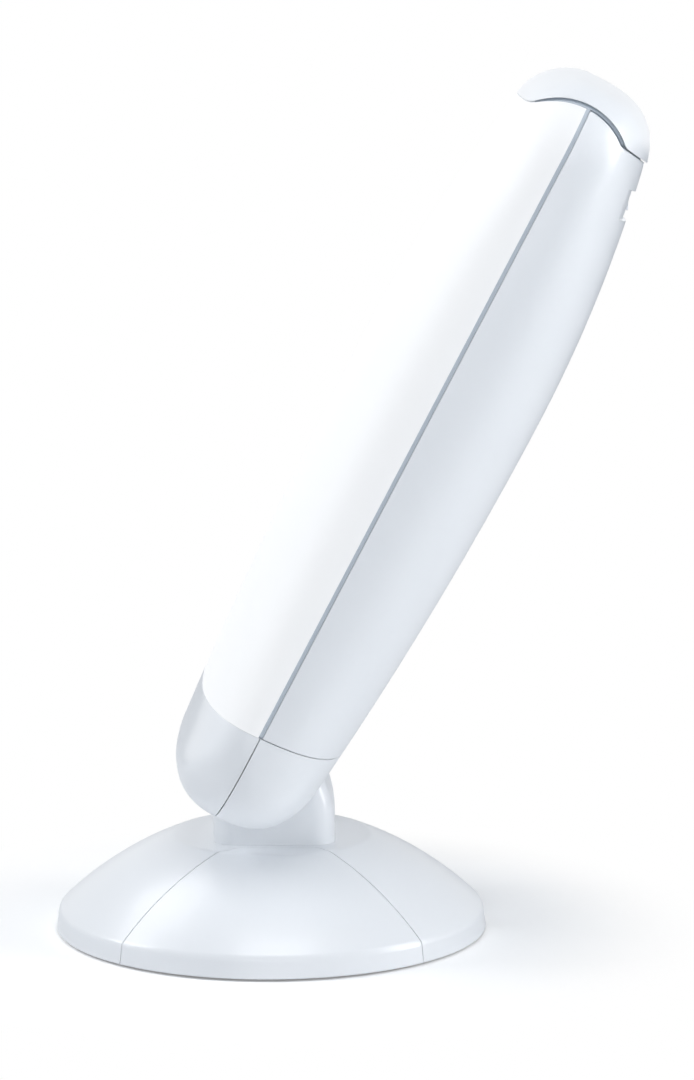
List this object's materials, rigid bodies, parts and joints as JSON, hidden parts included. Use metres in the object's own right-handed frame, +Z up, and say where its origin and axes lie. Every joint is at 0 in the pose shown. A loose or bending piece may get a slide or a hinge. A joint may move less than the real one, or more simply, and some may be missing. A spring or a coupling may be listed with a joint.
{
  "type": "light therapy lamp",
  "caption": "Bright light therapy lamp: a tall rounded light panel that tilts on a short neck over a round domed foot, with a rocker switch on its back.",
  "frame": {"origin": "centre of the round foot, on the surface that the lamp stands on", "axes": "+Z up, +X to the lamp's left and right sides (parallel to the tilt axle), -Y the way the light shines; the head leans back towards +Y"},
  "size_m": [0.26, 0.3524, 0.5166],
  "materials": {
    "white_shell": "satin white moulded plastic",
    "diffuser": "milky white translucent plastic with a satin surface",
    "frame_grey": "light grey moulded plastic",
    "rubber": "soft black rubber",
    "zinc_steel": "bright zinc plated steel",
    "painted_steel": "black powder coat",
    "cast_iron": "plain cast iron",
    "white_steel": "white stove enamel",
    "reflector": "bright rolled aluminium",
    "tube_glass": "glass coated inside with white phosphor",
    "lamp_base": "white moulded plastic",
    "holder": "white moulded plastic",
    "black_plastic": "fine matt black plastic",
    "board": "green circuit board",
    "brass": "plain brass",
    "bush": "natural self-lubricating plastic",
    "lead": "black insulated lead"
  },
  "bodies": {
    "base": {"foot_cover": "white_shell", "side_panel_left": "white_shell", "side_panel_right": "white_shell", "base_plate": "painted_steel", "rubber_feet": "rubber", "cover_screws": "zinc_steel", "ballast_weight": "cast_iron", "hinge_post": "painted_steel", "post_bolts": "zinc_steel", "post_nuts": "zinc_steel", "axle_bushes": "bush", "power_inlet": "black_plastic", "inlet_pins": "brass", "inlet_board": "board", "supply_lead": "lead"},
    "head": {"diffuser": "diffuser", "rear_housing": "white_shell", "top_cap": "white_shell", "bottom_cap_front": "white_shell", "bottom_cap_rear": "white_shell", "mid_frame": "frame_grey", "tilt_axle": "zinc_steel", "lock_nut": "zinc_steel", "friction_washers": "bush", "spring_washers": "zinc_steel", "hinge_bracket_left": "zinc_steel", "hinge_bracket_right": "zinc_steel", "bracket_screws": "zinc_steel", "reflector": "reflector", "chassis": "white_steel", "housing_screws": "zinc_steel", "lamp_tube_left": "tube_glass", "lamp_tube_right": "tube_glass", "lamp_base_left": "lamp_base", "lamp_base_right": "lamp_base", "lampholder_left": "holder", "lampholder_right": "holder", "tube_clips": "holder", "ballast_case": "zinc_steel", "ballast_board": "board", "ballast_cover": "white_steel", "terminal_block": "holder", "switch_housing": "white_shell", "switch_terminals": "brass"},
    "rocker": {"rocker": "white_shell"}
  },
  "joints": [
    {"name": "head_tilt", "type": "hinge", "parent": "base", "child": "head", "pos_m": [0, -0.0093, 0.128], "axis": [1, 0, 0], "range_deg": [-4, 27]},
    {"name": "power_switch_rock", "type": "hinge", "parent": "head", "child": "rocker", "pos_m": [0, 0.20828, 0.43935], "axis": [1, 0, 0], "range_deg": [-14, 0]}
  ]
}
